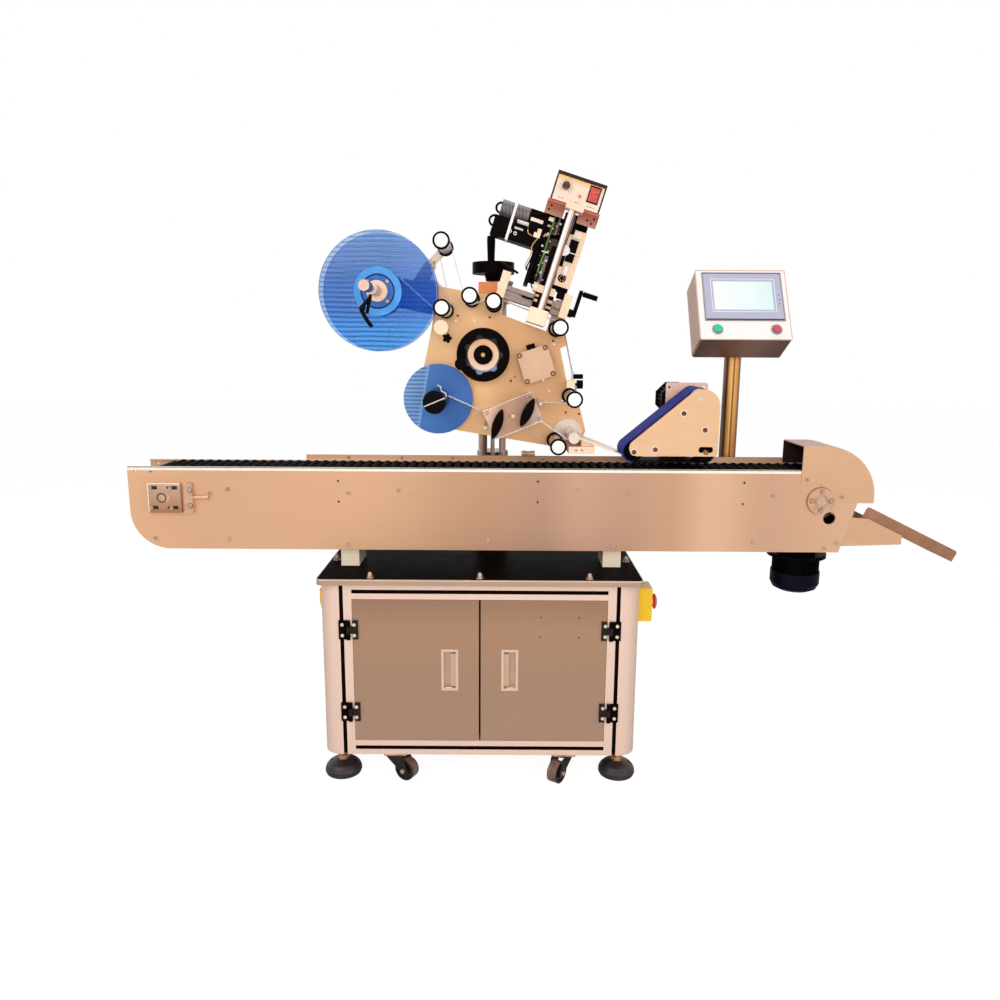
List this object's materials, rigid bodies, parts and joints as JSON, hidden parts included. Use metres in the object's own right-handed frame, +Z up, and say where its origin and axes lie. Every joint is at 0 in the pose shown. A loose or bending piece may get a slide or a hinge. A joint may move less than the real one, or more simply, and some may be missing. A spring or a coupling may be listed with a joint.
{
  "type": "pen labeling machine",
  "caption": "Labeling machine for pens: a roller chain conveyor over a cabinet, with a liftable label head, a date coder, a press belt unit and an operator panel on a pole.",
  "frame": {"origin": "centre of the four levelling feet's anchor holes, on the floor", "axes": "+X along the conveyor towards the exit chute, +Y from the front to the back, +Z up"},
  "size_m": [2.2752, 0.5912, 1.6333],
  "materials": {
    "profile_metal": "anodised",
    "panel_metal": "satin",
    "hardware_black": "satin",
    "plate_black": "gloss",
    "screw_metal": "bright",
    "foot_black": "matt with zinc stems",
    "support_metal": "brushed",
    "sand_panel": "bead blasted",
    "chain_black": "matt",
    "hood_sheet": "bead blasted",
    "motor_navy": "painted",
    "chute_sheet": "bead blasted",
    "bearing_metal": "bright",
    "column_metal": "ground",
    "pole_chrome": "polished",
    "box_yellow": "gloss",
    "press_metal": "bead blasted",
    "belt_blue": "satin",
    "door_brown": "brushed",
    "caster_black": "matt",
    "button_red": "gloss",
    "tension_metal": "milled",
    "wheel_metal": "turned",
    "wheel_black": "satin",
    "carriage_metal": "milled",
    "head_metal": "anodised",
    "fitting_metal": "mixed",
    "peel_metal": "milled",
    "disc_blue": "translucent",
    "hub_black": "satin",
    "arm_cream": "anodised",
    "roller_black": "bright with black rings",
    "reel_blue": "anodised",
    "knob_black": "gloss",
    "feed_rubber": "matt",
    "coder_cream": "milled",
    "coder_mixed": "mixed",
    "box_black": "satin",
    "dial_dark": "gloss",
    "rocker_red": "gloss",
    "crank_black": "satin",
    "press_roller_metal": "turned",
    "panel_box": "satin",
    "button_green": "gloss"
  },
  "bodies": {
    "machine": {"cabinet_frame": "profile_metal", "cabinet_panels": "panel_metal", "frame_hardware": "hardware_black", "table_plate": "plate_black", "fasteners": "screw_metal", "levelling_feet": "foot_black", "conveyor_supports": "support_metal", "side_panel_front": "sand_panel", "side_panel_rear": "sand_panel", "roller_chain": "chain_black", "end_hood": "hood_sheet", "gear_motor": "motor_navy", "chute": "chute_sheet", "bearings": "bearing_metal", "lift_column": "column_metal", "hmi_pole": "pole_chrome", "switch_boxes": "box_yellow", "press_frame": "press_metal", "press_belt": "belt_blue"},
    "head": {"head_plate": "head_metal", "head_fittings": "fitting_metal", "peel_plate": "peel_metal"},
    "unwinder": {"unwind_discs": "disc_blue", "reel_hub": "hub_black"},
    "coder": {"coder_post": "coder_cream", "coder_body": "coder_mixed", "control_box": "box_black"},
    "door_left": {"door_left": "door_brown"},
    "door_right": {"door_right": "door_brown"},
    "caster_1": {"caster_1": "caster_black"},
    "caster_2": {"caster_2": "caster_black"},
    "caster_3": {"caster_3": "caster_black"},
    "caster_4": {"caster_4": "caster_black"},
    "estop_button": {"estop_button": "button_red"},
    "main_switch": {"main_switch": "button_red"},
    "tension_block": {"tension_block": "tension_metal"},
    "idler_shaft": {"idler_shaft": "wheel_metal"},
    "drive_shaft": {"drive_shaft": "wheel_metal"},
    "lift_handwheel": {"lift_handwheel": "wheel_black"},
    "lift_carriage": {"lift_carriage": "carriage_metal"},
    "cross_handwheel": {"cross_handwheel": "wheel_black"},
    "dancer_arm": {"dancer_arm": "arm_cream"},
    "dancer_roller": {"dancer_roller": "roller_black"},
    "guide_roller_1": {"guide_roller_1": "roller_black"},
    "guide_roller_2": {"guide_roller_2": "roller_black"},
    "guide_roller_3": {"guide_roller_3": "roller_black"},
    "guide_roller_4": {"guide_roller_4": "roller_black"},
    "guide_roller_5": {"guide_roller_5": "roller_black"},
    "guide_roller_6": {"guide_roller_6": "roller_black"},
    "rewind_reel": {"rewind_reel": "reel_blue"},
    "nip_knob_left": {"nip_knob_left": "knob_black"},
    "nip_knob_right": {"nip_knob_right": "knob_black"},
    "feed_roller": {"feed_roller": "feed_rubber"},
    "dial_knob": {"dial_knob": "dial_dark"},
    "rocker_switch": {"rocker_switch": "rocker_red"},
    "crank_handle": {"crank_handle": "crank_black"},
    "press_roller": {"press_roller": "press_roller_metal"},
    "hmi_box": {"hmi_box": "panel_box"},
    "start_button": {"start_button": "button_green"},
    "stop_button": {"stop_button": "button_red"}
  },
  "joints": [
    {"name": "door_left_hinge", "type": "hinge", "parent": "machine", "child": "door_left", "pos_m": [-0.3515, -0.2705, 0.3], "axis": [0, 0, 1], "range_deg": [-110, 0]},
    {"name": "door_right_hinge", "type": "hinge", "parent": "machine", "child": "door_right", "pos_m": [0.3515, -0.2705, 0.3], "axis": [0, 0, 1], "range_deg": [0, 110]},
    {"name": "caster_swivel_1", "type": "hinge", "parent": "machine", "child": "caster_1", "pos_m": [-0.234, -0.242, 0.07], "axis": [0, 0, 1], "continuous": true},
    {"name": "caster_swivel_2", "type": "hinge", "parent": "machine", "child": "caster_2", "pos_m": [0.234, -0.242, 0.07], "axis": [0, 0, 1], "continuous": true},
    {"name": "caster_swivel_3", "type": "hinge", "parent": "machine", "child": "caster_3", "pos_m": [0.234, 0.242, 0.07], "axis": [0, 0, 1], "continuous": true},
    {"name": "caster_swivel_4", "type": "hinge", "parent": "machine", "child": "caster_4", "pos_m": [-0.234, 0.242, 0.07], "axis": [0, 0, 1], "continuous": true},
    {"name": "estop_press", "type": "slide", "parent": "machine", "child": "estop_button", "axis": [-1, 0, 0], "range_m": [0, 0.004], "stiffness_N_per_m": 800, "springref_m": -0.002},
    {"name": "main_switch_turn", "type": "hinge", "parent": "machine", "child": "main_switch", "pos_m": [-0.441, -0.155, 0.497], "axis": [1, 0, 0], "range_deg": [0, 90]},
    {"name": "chain_tension", "type": "slide", "parent": "machine", "child": "tension_block", "axis": [1, 0, 0], "range_m": [0, 0.008]},
    {"name": "drive_shaft_turn", "type": "hinge", "parent": "machine", "child": "drive_shaft", "pos_m": [0.923, -0.088, 0.77786], "axis": [0, 1, 0], "continuous": true},
    {"name": "idler_shaft_turn", "type": "hinge", "parent": "tension_block", "child": "idler_shaft", "pos_m": [-0.855, -0.088, 0.77786], "axis": [0, 1, 0], "continuous": true},
    {"name": "lift_wheel_turn", "type": "hinge", "parent": "machine", "child": "lift_handwheel", "pos_m": [0.0285, 0.112, 1.391], "axis": [0, 0, 1], "continuous": true},
    {"name": "head_lift", "type": "slide", "parent": "machine", "child": "lift_carriage", "axis": [0, 0, 1], "range_m": [-0.018, 0.12]},
    {"name": "head_cross", "type": "slide", "parent": "lift_carriage", "child": "head", "axis": [0, 1, 0], "range_m": [-0.015, 0.015]},
    {"name": "cross_wheel_turn", "type": "hinge", "parent": "head", "child": "cross_handwheel", "pos_m": [0.004, -0.09, 1.162], "axis": [0, 1, 0], "continuous": true},
    {"name": "unwind_turn", "type": "hinge", "parent": "head", "child": "unwinder", "pos_m": [-0.2815, -0.046, 1.329], "axis": [0, 1, 0], "continuous": true},
    {"name": "dancer_swing", "type": "hinge", "parent": "head", "child": "dancer_arm", "pos_m": [-0.146, 0.006, 1.408], "axis": [0, 1, 0], "range_deg": [-48, 34], "stiffness_Nm_per_rad": 1.5, "springref_deg": -7.45},
    {"name": "dancer_roller_turn", "type": "hinge", "parent": "dancer_arm", "child": "dancer_roller", "pos_m": [-0.103, -0.08, 1.451], "axis": [0, 1, 0], "continuous": true},
    {"name": "guide_roller_1_turn", "type": "hinge", "parent": "head", "child": "guide_roller_1", "pos_m": [-0.103, -0.08, 1.283], "axis": [0, 1, 0], "continuous": true},
    {"name": "guide_roller_2_turn", "type": "hinge", "parent": "head", "child": "guide_roller_2", "pos_m": [-0.03, -0.08, 1.314], "axis": [0, 1, 0], "continuous": true},
    {"name": "guide_roller_3_turn", "type": "hinge", "parent": "head", "child": "guide_roller_3", "pos_m": [0.032, -0.08, 1.3], "axis": [0, 1, 0], "continuous": true},
    {"name": "guide_roller_4_turn", "type": "hinge", "parent": "head", "child": "guide_roller_4", "pos_m": [0.207, -0.08, 1.234], "axis": [0, 1, 0], "continuous": true},
    {"name": "guide_roller_5_turn", "type": "hinge", "parent": "head", "child": "guide_roller_5", "pos_m": [0.249, -0.08, 1.047], "axis": [0, 1, 0], "continuous": true},
    {"name": "guide_roller_6_turn", "type": "hinge", "parent": "head", "child": "guide_roller_6", "pos_m": [0.208, -0.08, 0.92], "axis": [0, 1, 0], "continuous": true},
    {"name": "rewind_turn", "type": "hinge", "parent": "head", "child": "rewind_reel", "pos_m": [-0.124, -0.1, 1.038], "axis": [0, 1, 0], "continuous": true},
    {"name": "feed_roller_turn", "type": "hinge", "parent": "head", "child": "feed_roller", "pos_m": [0.085, -0.08, 1.003], "axis": [0, 1, 0], "continuous": true},
    {"name": "nip_knob_left_turn", "type": "hinge", "parent": "head", "child": "nip_knob_left", "pos_m": [0.044, -0.17, 0.983], "axis": [0, 1, 0], "range_deg": [-90, 90]},
    {"name": "nip_knob_right_turn", "type": "hinge", "parent": "head", "child": "nip_knob_right", "pos_m": [0.123, -0.17, 1.014], "axis": [0, 1, 0], "range_deg": [-90, 90]},
    {"name": "coder_slide", "type": "slide", "parent": "head", "child": "coder", "axis": [0.9548, 0, -0.2974], "range_m": [-0.03, 0.012]},
    {"name": "coder_crank_turn", "type": "hinge", "parent": "head", "child": "crank_handle", "pos_m": [0.19586, -0.075, 1.28753], "axis": [0.9548, 0, -0.2974], "continuous": true},
    {"name": "dial_turn", "type": "hinge", "parent": "coder", "child": "dial_knob", "pos_m": [0.21765, -0.124, 1.59287], "axis": [0, 1, 0], "range_deg": [-135, 135]},
    {"name": "rocker_tilt", "type": "hinge", "parent": "coder", "child": "rocker_switch", "pos_m": [0.29021, -0.116, 1.57027], "axis": [0.9548, 0, -0.2974], "range_deg": [-6, 0]},
    {"name": "press_roller_turn", "type": "hinge", "parent": "machine", "child": "press_roller", "pos_m": [0.586, -0.088, 1.05], "axis": [0, 1, 0], "continuous": true},
    {"name": "panel_swivel", "type": "hinge", "parent": "machine", "child": "hmi_box", "pos_m": [0.726, 0.06, 1.2], "axis": [0, 0, 1], "range_deg": [-35, 35]},
    {"name": "start_button_press", "type": "slide", "parent": "hmi_box", "child": "start_button", "axis": [0, 0.8746, -0.4848], "range_m": [0, 0.003], "stiffness_N_per_m": 400, "springref_m": -0.0015},
    {"name": "stop_button_press", "type": "slide", "parent": "hmi_box", "child": "stop_button", "axis": [0, 0.8746, -0.4848], "range_m": [0, 0.003], "stiffness_N_per_m": 400, "springref_m": -0.0015}
  ],
  "couplings": [
    {"joint": "idler_shaft_turn", "follows": "drive_shaft_turn", "ratio": 1},
    {"joint": "lift_wheel_turn", "follows": "head_lift", "rad_per_m": 1256.6},
    {"joint": "cross_wheel_turn", "follows": "head_cross", "rad_per_m": 1570.8},
    {"joint": "coder_crank_turn", "follows": "coder_slide", "rad_per_m": 2513.3}
  ]
}
